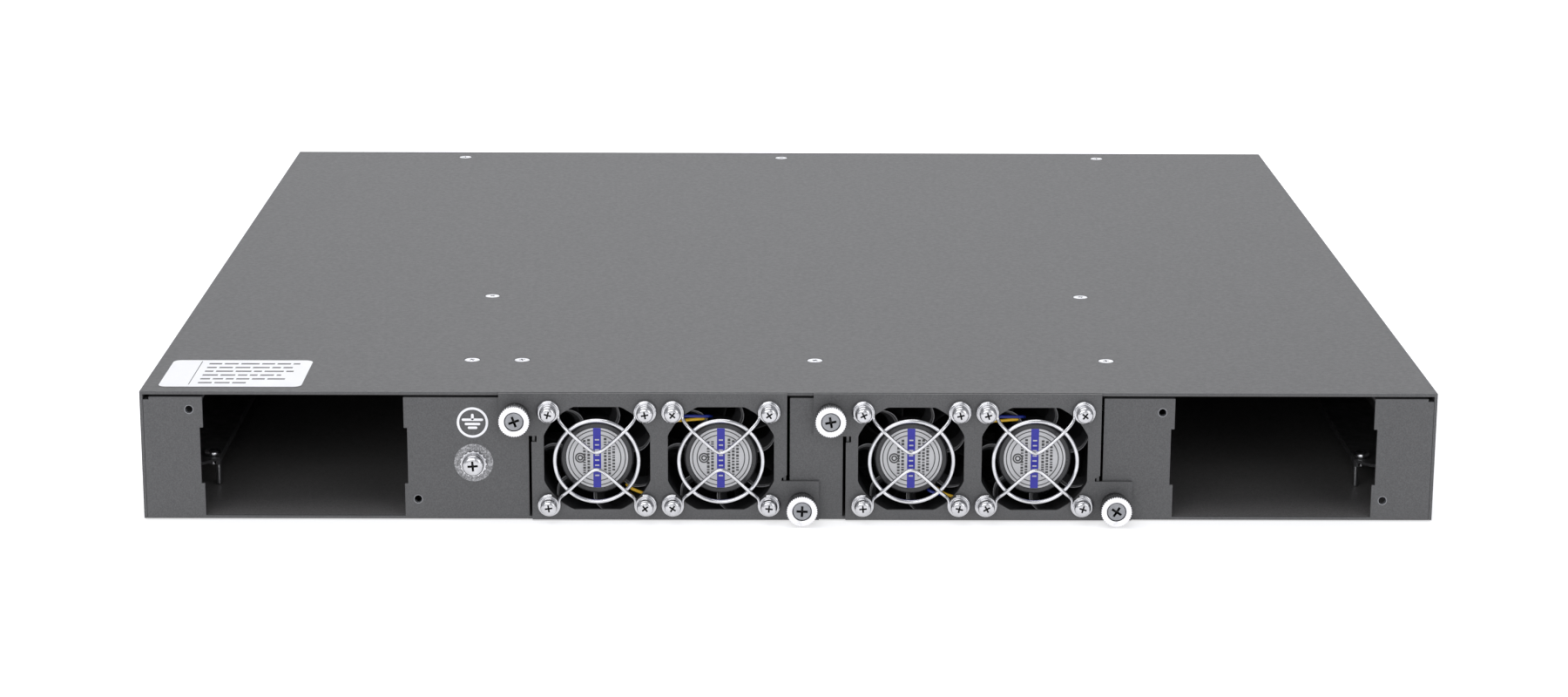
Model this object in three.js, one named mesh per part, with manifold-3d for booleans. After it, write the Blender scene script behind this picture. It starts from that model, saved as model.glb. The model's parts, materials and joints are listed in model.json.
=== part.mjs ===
// A 1U rackmount network switch: sheet-metal chassis, two empty power-supply bays, two removable
// fan modules with captive thumbscrews, and the port cages of the front panel.
// Millimetres. X runs across the switch, Y from the rear panel to the front panel, Z is up.

import * as THREE from 'three';
import { mergeVertices } from 'three/addons/utils/BufferGeometryUtils.js';
import Module from 'manifold-3d';

const wasm = await Module();
wasm.setup();

// ---------------------------------------------------------------- driving dimensions

const WIDTH = 430;
const HEIGHT = 43.6;
const DEPTH = 430;
const SHEET = 1.0;
const GAP = 0.3; // between pieces that touch or rest on each other
const SIDE_GAP = 0.12; // between the cover's sides and what they close over

const INNER_HALF = WIDTH / 2 - SHEET - SIDE_GAP; // outer face of everything inside the cover's sides
const RETURN_TOP = HEIGHT - SHEET - 0.85; // top of the flanges folded in under the cover
const RETURN_REACH = 52; // how far the rear panel's flanges reach in under the cover
const TRAY_WALL = 40; // top of the base tray's side walls
const FRONT_SHEET = 1.5;
const FRONT_INNER = DEPTH - FRONT_SHEET; // inner face of the front panel

const BAY = { inner: 127.9, outer: 194.4, depth: 235, recess: 1.1, recessLow: 12.1, recessHigh: 31.3 };
const RAIL = { top: 11, low: 8.4, inner: 195, outer: 212.4, start: 36, end: 226, point: 6 };
const RAIL_SCREW = { x: RAIL.inner + 2.6, y: RAIL.start + 3 };
const FASTENER_HOLES = [[-198.8, 37.5], [-123.6, 6.8], [123.8, 37], [198.2, 6.8]]; // tapped, x and z
const GROUND = { x: -105, z: 19.1, headRadius: 3.65, washerRadius: 4.5, holeRadius: 2.1 };

const MODULE_X = [-43.3, 61]; // middle between a module's two fans
const MODULE = { width: 84.7, offset: 0.1, bottom: 0.1, top: 43.5, depth: 56, clearance: 1 };
const FACE_BACK = -GAP; // the module's face plate stands in front of the rear panel
const FACE_FRONT = FACE_BACK - SHEET;
const EAR = { width: 10.8, upper: 14.5, lower: 13.4, notchWidth: 1.7, notchHeight: 2.1 };
const THUMBSCREW_PLACES = [[-47.5, 35.8], [47.5, 5.3]]; // from the module's middle, x and z

const FAN = { size: 40, depth: 28, axisZ: 21.3, pitch: 41.1, screwSpacing: 32, duct: 18.9, hub: 12.2 };
const FAN_CUT = { radius: 19.3, side: 35.3 }; // the face plate's opening: a circle cut by a square
const GUARD = { ring: 13.95, wire: 0.7, ringY: -3.9, bowY: -4.7, eyeY: -2.4, eye: 3.35, apex: 2.8 };
const THUMB = { knob: 5.25, core: 3.1, collar: 4.6, sleeve: 3.1, shank: 1.9, front: -9.3, back: -4.6 };
const THUMB_HOLE = 2.4;

const SCREW_ROWS = { rear: 44.6, middle: 142.6, front: DEPTH - 11.5 };
const COVER_SCREWS = [
  ...[-108.4, -91.3, 9.1, 109.1].map((x) => [x, SCREW_ROWS.rear]),
  ...[-108.4, 109.1].map((x) => [x, SCREW_ROWS.middle]),
  ...[-140, 0.5, 141].map((x) => [x, SCREW_ROWS.front]),
];
const COUNTERSINK = 2.95;
const SCREW_HEAD = 2.65;

const PORT_BLOCK_X = [-150, -100, -50, 0];
const PORT = { width: 13.6, height: 8.9, pitch: 14.25, depth: 46, wall: 0.65, low: 8.6, high: 22.3 };
const CAGE = { bottom: 7.9, top: 32.1, length: 50, proud: 0.8 };
const JACK = { x: 62, width: 16.4, top: 33.4, length: 21, portWidth: 11.8, portHeight: 8.4, depth: 15 };
const JACK_ROWS = [9.4, 22.6];
const BOARD = { bottom: 6, top: 7.6, back: 76, wide: 245 };
const SINK = { half: 32, back: 180, front: 244, top: 32 };
const BACKPLANE_Y = 66;

// ---------------------------------------------------------------- materials

function finish(color, roughness, metalness) {
  return new THREE.MeshStandardMaterial({ color, roughness, metalness, flatShading: true });
}

const finishes = {
  powderCoat: finish(0x808082, 0.6, 0.2),
  zinc: finish(0xc4c6c8, 0.35, 0.9),
  brightWire: finish(0xe6e6e8, 0.2, 1.0),
  blackPlastic: finish(0x1c1c1e, 0.55, 0.0),
  nickel: finish(0xe0dfdc, 0.3, 0.9),
  darkCollar: finish(0x38383a, 0.4, 0.7),
  board: finish(0x1f5a34, 0.5, 0.0),
  aluminium: finish(0xb4b6b8, 0.4, 0.9),
};

// ---------------------------------------------------------------- solids

// A closed solid from any three.js geometry, with its faces turned outwards.
function solid(geometry) {
  const bare = geometry.clone();
  bare.deleteAttribute('normal');
  bare.deleteAttribute('uv');
  const merged = mergeVertices(bare, 1e-4);
  const corners = merged.index.array;
  const triangles = [];
  for (let i = 0; i < corners.length; i += 3) {
    const [a, b, c] = [corners[i], corners[i + 1], corners[i + 2]];
    if (a !== b && b !== c && c !== a) triangles.push(a, b, c);
  }
  const places = merged.attributes.position.array;
  if (signedVolume(places, triangles) < 0) triangles.reverse();
  const mesh = new wasm.Mesh({
    numProp: 3,
    vertProperties: new Float32Array(places),
    triVerts: new Uint32Array(triangles),
  });
  return new wasm.Manifold(mesh);
}

function signedVolume(places, triangles) {
  const corner = (index) => new THREE.Vector3().fromArray(places, 3 * triangles[index]);
  let total = 0;
  for (let i = 0; i < triangles.length; i += 3) {
    total += corner(i).dot(corner(i + 1).cross(corner(i + 2)));
  }
  return total;
}

function join(...solids) {
  return solids.reduce((whole, piece) => whole.add(piece));
}

function cut(whole, ...tools) {
  return tools.reduce((rest, tool) => rest.subtract(tool), whole);
}

function geometryOf(manifold) {
  const mesh = manifold.getMesh();
  const geometry = new THREE.BufferGeometry();
  geometry.setAttribute('position', new THREE.BufferAttribute(mesh.vertProperties, 3));
  geometry.setIndex(new THREE.BufferAttribute(mesh.triVerts, 1));
  geometry.computeVertexNormals();
  return geometry;
}

function box([x0, x1], [y0, y1], [z0, z1]) {
  const geometry = new THREE.BoxGeometry(Math.abs(x1 - x0), Math.abs(y1 - y0), Math.abs(z1 - z0));
  return solid(geometry.translate((x0 + x1) / 2, (y0 + y1) / 2, (z0 + z1) / 2));
}

// A cylinder or cone along Y, from y0 with radius r0 to y1 with radius r1.
function rodY(x, z, [y0, y1], r0, r1 = r0, sides = 16) {
  const geometry = new THREE.CylinderGeometry(r1, r0, y1 - y0, sides);
  return solid(geometry.translate(x, (y0 + y1) / 2, z));
}

// A cylinder or cone along Z, from z0 with radius r0 to z1 with radius r1.
function rodZ(x, y, [z0, z1], r0, r1 = r0, sides = 12) {
  const geometry = new THREE.CylinderGeometry(r1, r0, z1 - z0, sides);
  return solid(geometry.rotateX(Math.PI / 2).translate(x, y, (z0 + z1) / 2));
}

// A flat outline in X and Z, given thickness from y0 to y1.
function plateY(outline, [y0, y1]) {
  const shape = new THREE.Shape(outline.map(([x, z]) => new THREE.Vector2(x, z)));
  const geometry = new THREE.ExtrudeGeometry(shape, { depth: y1 - y0, bevelEnabled: false });
  return solid(geometry.rotateX(Math.PI / 2).translate(0, y1, 0));
}

// A closed ring of round wire about the Y axis.
function wireRing(x, y, z, radius, wire, around, across) {
  const profile = [];
  for (let i = 0; i <= across; i += 1) {
    const angle = (2 * Math.PI * (i % across)) / across;
    profile.push(new THREE.Vector2(radius + wire * Math.cos(angle), wire * Math.sin(angle)));
  }
  return solid(new THREE.LatheGeometry(profile, around).translate(x, y, z));
}

// Round wire bent along a smooth curve through the given points.
function wireAlong(points, wire, steps, sides) {
  const section = new THREE.Shape();
  for (let i = 0; i < sides; i += 1) {
    const angle = (2 * Math.PI * i) / sides;
    const place = [wire * Math.cos(angle), wire * Math.sin(angle)];
    if (i === 0) section.moveTo(...place);
    else section.lineTo(...place);
  }
  const extrudePath = new THREE.CatmullRomCurve3(points.map((point) => new THREE.Vector3(...point)));
  return solid(new THREE.ExtrudeGeometry(section, { steps, extrudePath, bevelEnabled: false }));
}

function addPart(parent, name, manifold, material) {
  const mesh = new THREE.Mesh(geometryOf(manifold), material);
  mesh.name = name;
  parent.add(mesh);
}

const sideName = (side) => (side < 0 ? 'left' : 'right');

// ---------------------------------------------------------------- chassis sheet metal

// The rack brackets screw to these places on both sides, near the front.
const BRACKET_HOLES = [[DEPTH - 50, 11], [DEPTH - 50, 33], [DEPTH - 22, 11], [DEPTH - 22, 33]];

function bracketHoles(radius) {
  return BRACKET_HOLES.map(([y, z]) => {
    const geometry = new THREE.CylinderGeometry(radius, radius, WIDTH + 2, 10);
    return solid(geometry.rotateZ(Math.PI / 2).translate(0, y, z));
  });
}

function baseTray() {
  const inside = INNER_HALF - SHEET;
  const channel = plateY([
    [-INNER_HALF, 0], [INNER_HALF, 0], [INNER_HALF, TRAY_WALL], [inside, TRAY_WALL],
    [inside, SHEET], [-inside, SHEET], [-inside, TRAY_WALL], [-INNER_HALF, TRAY_WALL],
  ], [SHEET + GAP, FRONT_INNER - GAP]);
  return cut(channel, ...bracketHoles(1.7));
}

function topCover() {
  const outside = WIDTH / 2;
  const inside = outside - SHEET;
  const under = HEIGHT - SHEET;
  const channel = plateY([
    [-outside, 0], [-inside, 0], [-inside, under], [inside, under],
    [inside, 0], [outside, 0], [outside, HEIGHT], [-outside, HEIGHT],
  ], [0, FRONT_INNER - GAP]);
  const sinks = COVER_SCREWS.map(([x, y]) => rodZ(x, y, [HEIGHT - SHEET - 0.1, HEIGHT + 0.1],
    COUNTERSINK - SHEET - 0.1, COUNTERSINK + 0.1, 12));
  return cut(channel, ...sinks, ...bracketHoles(2.2));
}

function coverScrew() {
  const head = rodZ(0, 0, [HEIGHT - 1.25, HEIGHT - 0.05], SCREW_HEAD - 1.2, SCREW_HEAD, 10);
  const shank = rodZ(0, 0, [HEIGHT - 6, HEIGHT - 1.2], 1.3, 1.3, 6);
  return join(head, shank);
}

// Stretches of the rear panel that stand up between its openings, from left to right.
function rearSegments() {
  const half = MODULE.width / 2 + MODULE.clearance;
  const opening = MODULE_X.map((x) => [x + MODULE.offset - half, x + MODULE.offset + half]);
  return [
    [-INNER_HALF, -BAY.outer],
    [-BAY.inner, opening[0][0]],
    [opening[0][1], opening[1][0]],
    [opening[1][1], BAY.inner],
    [BAY.outer, INNER_HALF],
  ];
}

// Holes for the cover's screws of one row, through the flange below the cover.
function coverScrewHoles(row) {
  return COVER_SCREWS.filter(([, y]) => y === row)
    .map(([x, y]) => rodZ(x, y, [RETURN_TOP - 2, RETURN_TOP + 1], 1.7, 1.7, 8));
}

function moduleScrewPlaces() {
  return MODULE_X.flatMap((middle) => THUMBSCREW_PLACES.map(([x, z]) => [middle + x, z]));
}

function rearPanel() {
  const plate = box([-INNER_HALF, INNER_HALF], [0, SHEET], [0, RETURN_TOP]);
  const segments = rearSegments();
  const openings = segments.slice(1).map(([start], index) => box([segments[index][1], start],
    [-1, SHEET + 1], [SHEET, HEIGHT]));
  const returns = segments.map((across) => box(across, [SHEET / 2, RETURN_REACH],
    [RETURN_TOP - SHEET, RETURN_TOP]));
  const clinchNuts = moduleScrewPlaces().map(([x, z]) => rodY(x, z, [SHEET / 2, 3], 3.2, 3.2, 10));
  const nutBores = moduleScrewPlaces().map(([x, z]) => rodY(x, z, [-1, 4], 2.3, 2.3, 10));
  const tapped = FASTENER_HOLES.map(([x, z]) => rodY(x, z, [-1, 2], 1.3, 1.3, 10));
  const ground = rodY(GROUND.x, GROUND.z, [-1, 2], GROUND.holeRadius, GROUND.holeRadius, 12);
  const returnHoles = coverScrewHoles(SCREW_ROWS.rear);
  const edges = [-BAY.outer, -BAY.inner, BAY.inner, BAY.outer];
  const recesses = edges.map((x) => box([x - BAY.recess, x + BAY.recess], [-1, 2],
    [BAY.recessLow, BAY.recessHigh]));
  const corner = (side) => box([side * (INNER_HALF - 1.9), side * (INNER_HALF + 1)],
    [-1, RETURN_REACH + 1], [RETURN_TOP - 0.9, RETURN_TOP + 1]);
  return cut(join(cut(plate, ...openings), ...returns, ...clinchNuts), ...nutBores, ...tapped, ground,
    ...returnHoles, ...recesses, corner(-1), corner(1));
}

// ---------------------------------------------------------------- front panel

function hexagonHole(x, z, radius) {
  return rodY(x, z, [FRONT_INNER - 1, DEPTH + 1], radius, radius, 6);
}

function frontPanel() {
  const through = [FRONT_INNER - 1, DEPTH + 1];
  const plate = box([-WIDTH / 2, WIDTH / 2], [FRONT_INNER, DEPTH], [0, HEIGHT]);
  const topReturn = box([-200, 200], [DEPTH - 18, FRONT_INNER + 0.5], [RETURN_TOP - SHEET, RETURN_TOP]);
  const returnHoles = coverScrewHoles(SCREW_ROWS.front);
  const cageWidth = 3 * PORT.pitch + PORT.wall;
  const cageCuts = PORT_BLOCK_X.map((x) => box([x - cageWidth / 2 - GAP, x + cageWidth / 2 + GAP],
    through, [CAGE.bottom - GAP, CAGE.top + GAP]));
  const jackCut = box([JACK.x - JACK.width / 2 - GAP, JACK.x + JACK.width / 2 + GAP], through,
    [CAGE.bottom - GAP, JACK.top + GAP]);
  const vents = [];
  for (let column = 0; column < 10; column += 1) {
    for (let row = 0; row < 3; row += 1) {
      vents.push(hexagonHole(100 + 9 * column + (row % 2) * 4.5, 12 + 8 * row, 3.4));
    }
  }
  for (let slot = 0; slot < 18; slot += 1) {
    vents.push(box([-198 + 15 * slot, -188 + 15 * slot], through, [35.6, 38.2]));
  }
  return cut(join(plate, topReturn), ...returnHoles, ...cageCuts, jackCut, ...vents);
}

function portBlock() {
  const width = 3 * PORT.pitch + PORT.wall;
  const mouth = DEPTH + CAGE.proud;
  const body = box([-width / 2, width / 2], [mouth - CAGE.length, mouth], [CAGE.bottom, CAGE.top]);
  const pockets = [PORT.low, PORT.high].flatMap((z) => [-1, 0, 1].map((column) => {
    const x = column * PORT.pitch;
    return box([x - PORT.width / 2, x + PORT.width / 2], [mouth - PORT.depth, mouth + 1],
      [z, z + PORT.height]);
  }));
  return cut(body, ...pockets);
}

function jackBlock() {
  const mouth = DEPTH + CAGE.proud;
  const body = box([JACK.x - JACK.width / 2, JACK.x + JACK.width / 2], [mouth - JACK.length, mouth],
    [CAGE.bottom, JACK.top]);
  const half = JACK.portWidth / 2;
  const pockets = JACK_ROWS.map((z) => box([JACK.x - half, JACK.x + half],
    [mouth - JACK.depth, mouth + 1], [z, z + JACK.portHeight]));
  return cut(body, ...pockets);
}

// ---------------------------------------------------------------- power-supply bays

function bayWall(side) {
  const inner = BAY.inner - 2.1;
  const wall = box([side * inner, side * (inner + SHEET)], [SHEET + GAP, BAY.depth],
    [SHEET + GAP, RETURN_TOP - SHEET - GAP]);
  const end = box([side * inner, side * (RAIL.outer - GAP)], [BAY.depth, BAY.depth + SHEET],
    [SHEET + GAP, RETURN_TOP - SHEET - GAP]);
  const along = [SCREW_ROWS.middle - 12, SCREW_ROWS.middle + 12];
  const riser = box([side * inner, side * (inner + SHEET)], along, [35, RETURN_TOP]);
  const tab = box([side * 103, side * (inner + SHEET)], along, [RETURN_TOP - SHEET, RETURN_TOP]);
  return cut(join(wall, end, riser, tab), ...coverScrewHoles(SCREW_ROWS.middle));
}

// A shelf along the bay with a pointed rear end, a lip down its inner edge, and a post under its tip.
function bayRail(side) {
  const { inner, outer, start, end, top, low } = RAIL;
  const tip = start - RAIL.point;
  const outline = [[inner, start], [inner + 4.5, tip], [outer, tip], [outer, end], [inner, end]];
  const shape = new THREE.Shape(outline.map(([x, y]) => new THREE.Vector2(side * x, y)));
  const geometry = new THREE.ExtrudeGeometry(shape, { depth: SHEET, bevelEnabled: false });
  const shelf = solid(geometry.translate(0, 0, top - SHEET));
  const lip = box([side * inner, side * (inner + SHEET)], [start, end], [low, top]);
  const post = rodZ(side * (inner + 0.6), start + 2, [SHEET + GAP, top - SHEET / 2], 0.9, 0.9, 12);
  const hole = rodZ(side * RAIL_SCREW.x, RAIL_SCREW.y, [top - 3, top + 1], 1.4, 1.4, 10);
  return cut(join(shelf, lip, post), hole);
}

function railScrew(side) {
  const [x, y] = [side * RAIL_SCREW.x, RAIL_SCREW.y];
  const head = rodZ(x, y, [RAIL.top + GAP, RAIL.top + 2.2], 2.3, 1.9, 12);
  return join(head, rodZ(x, y, [RAIL.low, RAIL.top + 1], 1.1, 1.1, 8));
}

function bayConnector(side) {
  const middle = (side * (BAY.inner + BAY.outer)) / 2;
  const body = box([middle - 17, middle + 17], [BAY.depth - 14, BAY.depth - GAP], [5, 19]);
  const blades = [-12, -8, -4, 0, 4, 8, 12].map((x) => box([middle + x - 0.9, middle + x + 0.9],
    [BAY.depth - 15, BAY.depth - 6], [7.5, 16.5]));
  return cut(body, ...blades);
}

// ---------------------------------------------------------------- electronics

function mainBoard() {
  const height = [BOARD.bottom, BOARD.top];
  const middle = box([-122, 122], [BOARD.back, BOARD.wide + 5], height);
  const wide = box([-205, 205], [BOARD.wide, FRONT_INNER - 4], height);
  const pegPlaces = [-110, 0, 110].flatMap((x) => [90, 200, 310, 400].map((y) => [x, y]));
  const pegs = pegPlaces.map(([x, y]) => rodZ(x, y, [SHEET + GAP, BOARD.top], 2.5, 2.5, 8));
  return join(middle, wide, ...pegs);
}

function heatSink() {
  const { half, back, front, top } = SINK;
  const base = box([-half, half], [back, front], [BOARD.top + GAP + 1.7, BOARD.top + 6]);
  const chip = box([-17, 17], [back + 15, front - 15], [BOARD.top + GAP, BOARD.top + 3]);
  const fins = [];
  for (let fin = 0; fin < 13; fin += 1) {
    const start = -half + 5.25 * fin;
    fins.push(box([start, start + 1], [back, front], [BOARD.top + 5, top]));
  }
  return join(base, chip, ...fins);
}

function fanBackplane() {
  const board = box([-84, 102], [BACKPLANE_Y, BACKPLANE_Y + 1.6], [SHEET + GAP, 20]);
  const sockets = MODULE_X.map((x) => box([x - 11, x + 11], [61.8, BACKPLANE_Y + 0.5], [4, 14]));
  return join(board, ...sockets);
}

function groundScrew() {
  const rim = rodY(0, 0, [-2.6, -1.2], GROUND.headRadius, GROUND.headRadius, 16);
  const dome = rodY(0, 0, [-3.8, -2.6], GROUND.headRadius - 1.1, GROUND.headRadius, 16);
  const shank = rodY(0, 0, [-1.3, 6], 1.75, 1.75, 10);
  const slot = (x, z) => box([-x, x], [-5, -2.2], [-z, z]);
  return cut(join(rim, dome, shank), slot(2, 0.45), slot(0.45, 2));
}

function groundWasher() {
  const ring = rodY(0, 0, [-0.9, -GAP], GROUND.washerRadius, GROUND.washerRadius, 20);
  return cut(ring, rodY(0, 0, [-2, 1], GROUND.holeRadius, GROUND.holeRadius, 12));
}

// ---------------------------------------------------------------- fan modules

const FAN_PLACES = [-FAN.pitch / 2, FAN.pitch / 2];
const SCREW_CORNERS = [[-1, -1], [1, -1], [-1, 1], [1, 1]].map(([x, z]) => [
  (x * FAN.screwSpacing) / 2, (z * FAN.screwSpacing) / 2]);

const EAR_TOP = MODULE.bottom + EAR.lower; // top edge of the lower ear
const EAR_BOTTOM = MODULE.top - EAR.upper; // bottom edge of the upper ear

function faceOutline() {
  const left = MODULE.offset - MODULE.width / 2;
  const right = MODULE.offset + MODULE.width / 2;
  const { width, notchWidth, notchHeight } = EAR;
  return [
    [left, MODULE.bottom], [right + width, MODULE.bottom], [right + width, EAR_TOP],
    [right - notchWidth, EAR_TOP], [right - notchWidth, EAR_TOP + notchHeight / 2],
    [right, EAR_TOP + notchHeight], [right, MODULE.top], [left - width, MODULE.top],
    [left - width, EAR_BOTTOM], [left + notchWidth, EAR_BOTTOM],
    [left + notchWidth, EAR_BOTTOM - notchHeight], [left, EAR_BOTTOM - notchHeight],
  ];
}

function fanOpening(x) {
  const half = FAN_CUT.side / 2;
  const round = rodY(x, FAN.axisZ, [FACE_FRONT - 1, FACE_BACK + 1], FAN_CUT.radius, FAN_CUT.radius, 40);
  return round.intersect(box([x - half, x + half], [FACE_FRONT - 1, FACE_BACK + 1],
    [FAN.axisZ - half, FAN.axisZ + half]));
}

function fanTray() {
  const left = MODULE.offset - MODULE.width / 2;
  const right = MODULE.offset + MODULE.width / 2;
  const face = plateY(faceOutline(), [FACE_FRONT, FACE_BACK]);
  const high = [1.6, 41.9];
  const leftWall = box([left + 0.2, left + 1.1], [FACE_BACK - 0.1, MODULE.depth], high);
  const rightWall = box([right - 1.1, right - 0.2], [FACE_BACK - 0.1, MODULE.depth], high);
  const backBar = box([left + 0.2, right - 0.2], [MODULE.depth - SHEET, MODULE.depth], [3, 15]);
  const screwHoles = FAN_PLACES.flatMap((middle) => SCREW_CORNERS.map(([x, z]) => rodY(middle + x,
    FAN.axisZ + z, [FACE_FRONT - 1, FACE_BACK + 1], 1.9, 1.9, 8)));
  const earHoles = THUMBSCREW_PLACES.map(([x, z]) => rodY(x, z, [FACE_FRONT - 1, FACE_BACK + 1],
    THUMB_HOLE, THUMB_HOLE, 12));
  const notches = [
    box([left - 1, left + EAR.notchWidth], [FACE_BACK, 20], [EAR_BOTTOM - EAR.notchHeight, EAR_BOTTOM]),
    box([right - EAR.notchWidth, right + 1], [FACE_BACK, 20], [EAR_TOP, EAR_TOP + EAR.notchHeight]),
  ];
  return cut(join(face, leftWall, rightWall, backBar), ...FAN_PLACES.map(fanOpening), ...screwHoles,
    ...earHoles, ...notches);
}

// Fan frame: square housing, round duct, and the motor cup on its struts at the outlet.
function fanFrame() {
  const half = FAN.size / 2;
  const housing = box([-half, half], [0, FAN.depth], [-half, half]);
  const duct = rodY(0, 0, [-1, FAN.depth + 1], FAN.duct, FAN.duct, 24);
  const holes = SCREW_CORNERS.map(([x, z]) => rodY(x, z, [-1, 8], 1.9, 1.9, 6));
  const cup = rodY(0, 0, [0.6, 8], FAN.hub, FAN.hub, 16);
  const struts = [];
  for (let strut = 0; strut < 7; strut += 1) {
    const geometry = new THREE.BoxGeometry(FAN.duct - FAN.hub + 3, 3.6, 0.9);
    geometry.rotateY(0.35).translate((FAN.duct + FAN.hub) / 2, 2.6, 0);
    struts.push(solid(geometry.rotateY((2 * Math.PI * strut) / 7 + 0.2)));
  }
  const bearing = rodY(0, 0, [4, 9], 1.9, 1.9, 8);
  return cut(join(cut(housing, duct, ...holes), cup, ...struts), bearing);
}

// One blade: a flat bar twisted about the fan's axis as it runs along it.
function fanBlade(turn) {
  const root = FAN.hub - 1.2;
  const tip = FAN.duct - 0.7;
  const depth = 15;
  const section = new THREE.Shape([[root, -0.6], [tip, -0.45], [tip, 0.45], [root, 0.6]]
    .map(([x, y]) => new THREE.Vector2(x, y)));
  const geometry = new THREE.ExtrudeGeometry(section, { depth, steps: 1, bevelEnabled: false });
  const place = geometry.attributes.position;
  const point = new THREE.Vector3();
  const axis = new THREE.Vector3(0, 0, 1);
  for (let i = 0; i < place.count; i += 1) {
    point.fromBufferAttribute(place, i);
    point.applyAxisAngle(axis, turn + (0.75 * point.z) / depth);
    place.setXYZ(i, point.x, point.y, point.z);
  }
  return solid(geometry.rotateX(Math.PI / 2).translate(0, 10.5 + depth, 0));
}

function fanRotor() {
  const hub = rodY(0, 0, [8.8, 26.5], FAN.hub - 0.7, FAN.hub - 0.7, 16);
  const shaft = rodY(0, 0, [4.6, 9], 1.5, 1.5, 6);
  const blades = [];
  for (let blade = 0; blade < 7; blade += 1) blades.push(fanBlade((2 * Math.PI * blade) / 7));
  return join(hub, shaft, ...blades);
}

// Finger guard: a ring, two bent wires across it, four eyes, and the screws through the eyes.
function fanGuard() {
  const ring = wireRing(0, GUARD.ringY, 0, GUARD.ring, GUARD.wire, 20, 4);
  const bow = (up) => {
    const reach = FAN.screwSpacing / 2 - 2.2;
    return wireAlong([
      [-reach - 0.6, GUARD.eyeY, up * (reach + 0.6)], [-reach + 2.6, GUARD.bowY, up * (reach - 2.6)],
      [-5, GUARD.bowY, up * (GUARD.apex + 2.3)], [0, GUARD.bowY, up * GUARD.apex],
      [5, GUARD.bowY, up * (GUARD.apex + 2.3)], [reach - 2.6, GUARD.bowY, up * (reach - 2.6)],
      [reach + 0.6, GUARD.eyeY, up * (reach + 0.6)],
    ], GUARD.wire, 8, 4);
  };
  const corners = SCREW_CORNERS.flatMap(([x, z]) => [
    rodY(x, z, [GUARD.eyeY - GUARD.wire, GUARD.eyeY + GUARD.wire], GUARD.eye + GUARD.wire,
      GUARD.eye + GUARD.wire, 10),
    rodY(x, z, [-4.5, -3], 3.3, 3.3, 8),
    rodY(x, z, [-6.9, -4.4], 1.9, 2.75, 8),
    rodY(x, z, [-2.4, 6], 1.5, 1.5, 6),
  ]);
  return join(ring, bow(1), bow(-1), ...corners);
}

function moduleConnector() {
  return box([-9, 9], [MODULE.depth + GAP, 61.5], [6, 12.5]);
}

// ---------------------------------------------------------------- thumbscrews, axis through the origin

function thumbCollar() {
  const collar = rodY(0, 0, [-4.3, FACE_FRONT - GAP], THUMB.collar, THUMB.collar, 12);
  return cut(collar, rodY(0, 0, [-6, 0], THUMB.sleeve + GAP, THUMB.sleeve + GAP, 12));
}

function thumbSleeve() {
  const sleeve = rodY(0, 0, [-4.3, FACE_FRONT - GAP], THUMB.sleeve, THUMB.sleeve, 12);
  return cut(sleeve, rodY(0, 0, [-6, 0], THUMB.shank + GAP, THUMB.shank + GAP, 8));
}

function thumbScrew() {
  const disc = rodY(0, 0, [THUMB.front + 0.5, THUMB.back], THUMB.knob, THUMB.knob, 16);
  const rim = rodY(0, 0, [THUMB.front, THUMB.front + 0.5], THUMB.knob - 0.5, THUMB.knob, 16);
  const shank = rodY(0, 0, [THUMB.back - 1, 4], THUMB.shank, THUMB.shank, 8);
  const slot = (x, z) => box([-x, x], [THUMB.front - 1, THUMB.front + 1.6], [-z, z]);
  return cut(join(disc, rim, shank), slot(THUMB.core, 0.5), slot(0.5, THUMB.core * 0.7));
}

// ---------------------------------------------------------------- assembly

const group = new THREE.Group();
const rearmost = THUMB.front;
const frontmost = DEPTH + CAGE.proud;
group.position.y = -(rearmost + frontmost) / 2; // the origin is below the middle of the whole switch

const chassis = new THREE.Group();
group.add(chassis);
addPart(chassis, 'base_tray', baseTray(), finishes.powderCoat);
addPart(chassis, 'top_cover', topCover(), finishes.powderCoat);
addPart(chassis, 'rear_panel', rearPanel(), finishes.powderCoat);
addPart(chassis, 'front_panel', frontPanel(), finishes.powderCoat);
addPart(chassis, 'main_board', mainBoard(), finishes.board);
addPart(chassis, 'heat_sink', heatSink(), finishes.aluminium);
addPart(chassis, 'fan_backplane', fanBackplane(), finishes.board);
addPart(chassis, 'management_jacks', jackBlock(), finishes.zinc);
for (const side of [-1, 1]) {
  addPart(chassis, `psu_bay_wall_${sideName(side)}`, bayWall(side), finishes.zinc);
  addPart(chassis, `psu_rail_${sideName(side)}`, bayRail(side), finishes.zinc);
  addPart(chassis, `psu_rail_screw_${sideName(side)}`, railScrew(side), finishes.zinc);
  addPart(chassis, `psu_connector_${sideName(side)}`, bayConnector(side), finishes.blackPlastic);
}
PORT_BLOCK_X.forEach((x, index) => {
  const place = new THREE.Group();
  place.position.x = x;
  chassis.add(place);
  addPart(place, `port_cage_${index + 1}`, portBlock(), finishes.zinc);
});
COVER_SCREWS.forEach(([x, y], index) => {
  const place = new THREE.Group();
  place.position.set(x, y, 0);
  chassis.add(place);
  addPart(place, `cover_screw_${index + 1}`, coverScrew(), finishes.zinc);
});

const grounding = new THREE.Group();
grounding.position.set(GROUND.x, 0, GROUND.z);
chassis.add(grounding);
addPart(grounding, 'ground_screw', groundScrew(), finishes.zinc);
addPart(grounding, 'ground_washer', groundWasher(), finishes.zinc);

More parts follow.
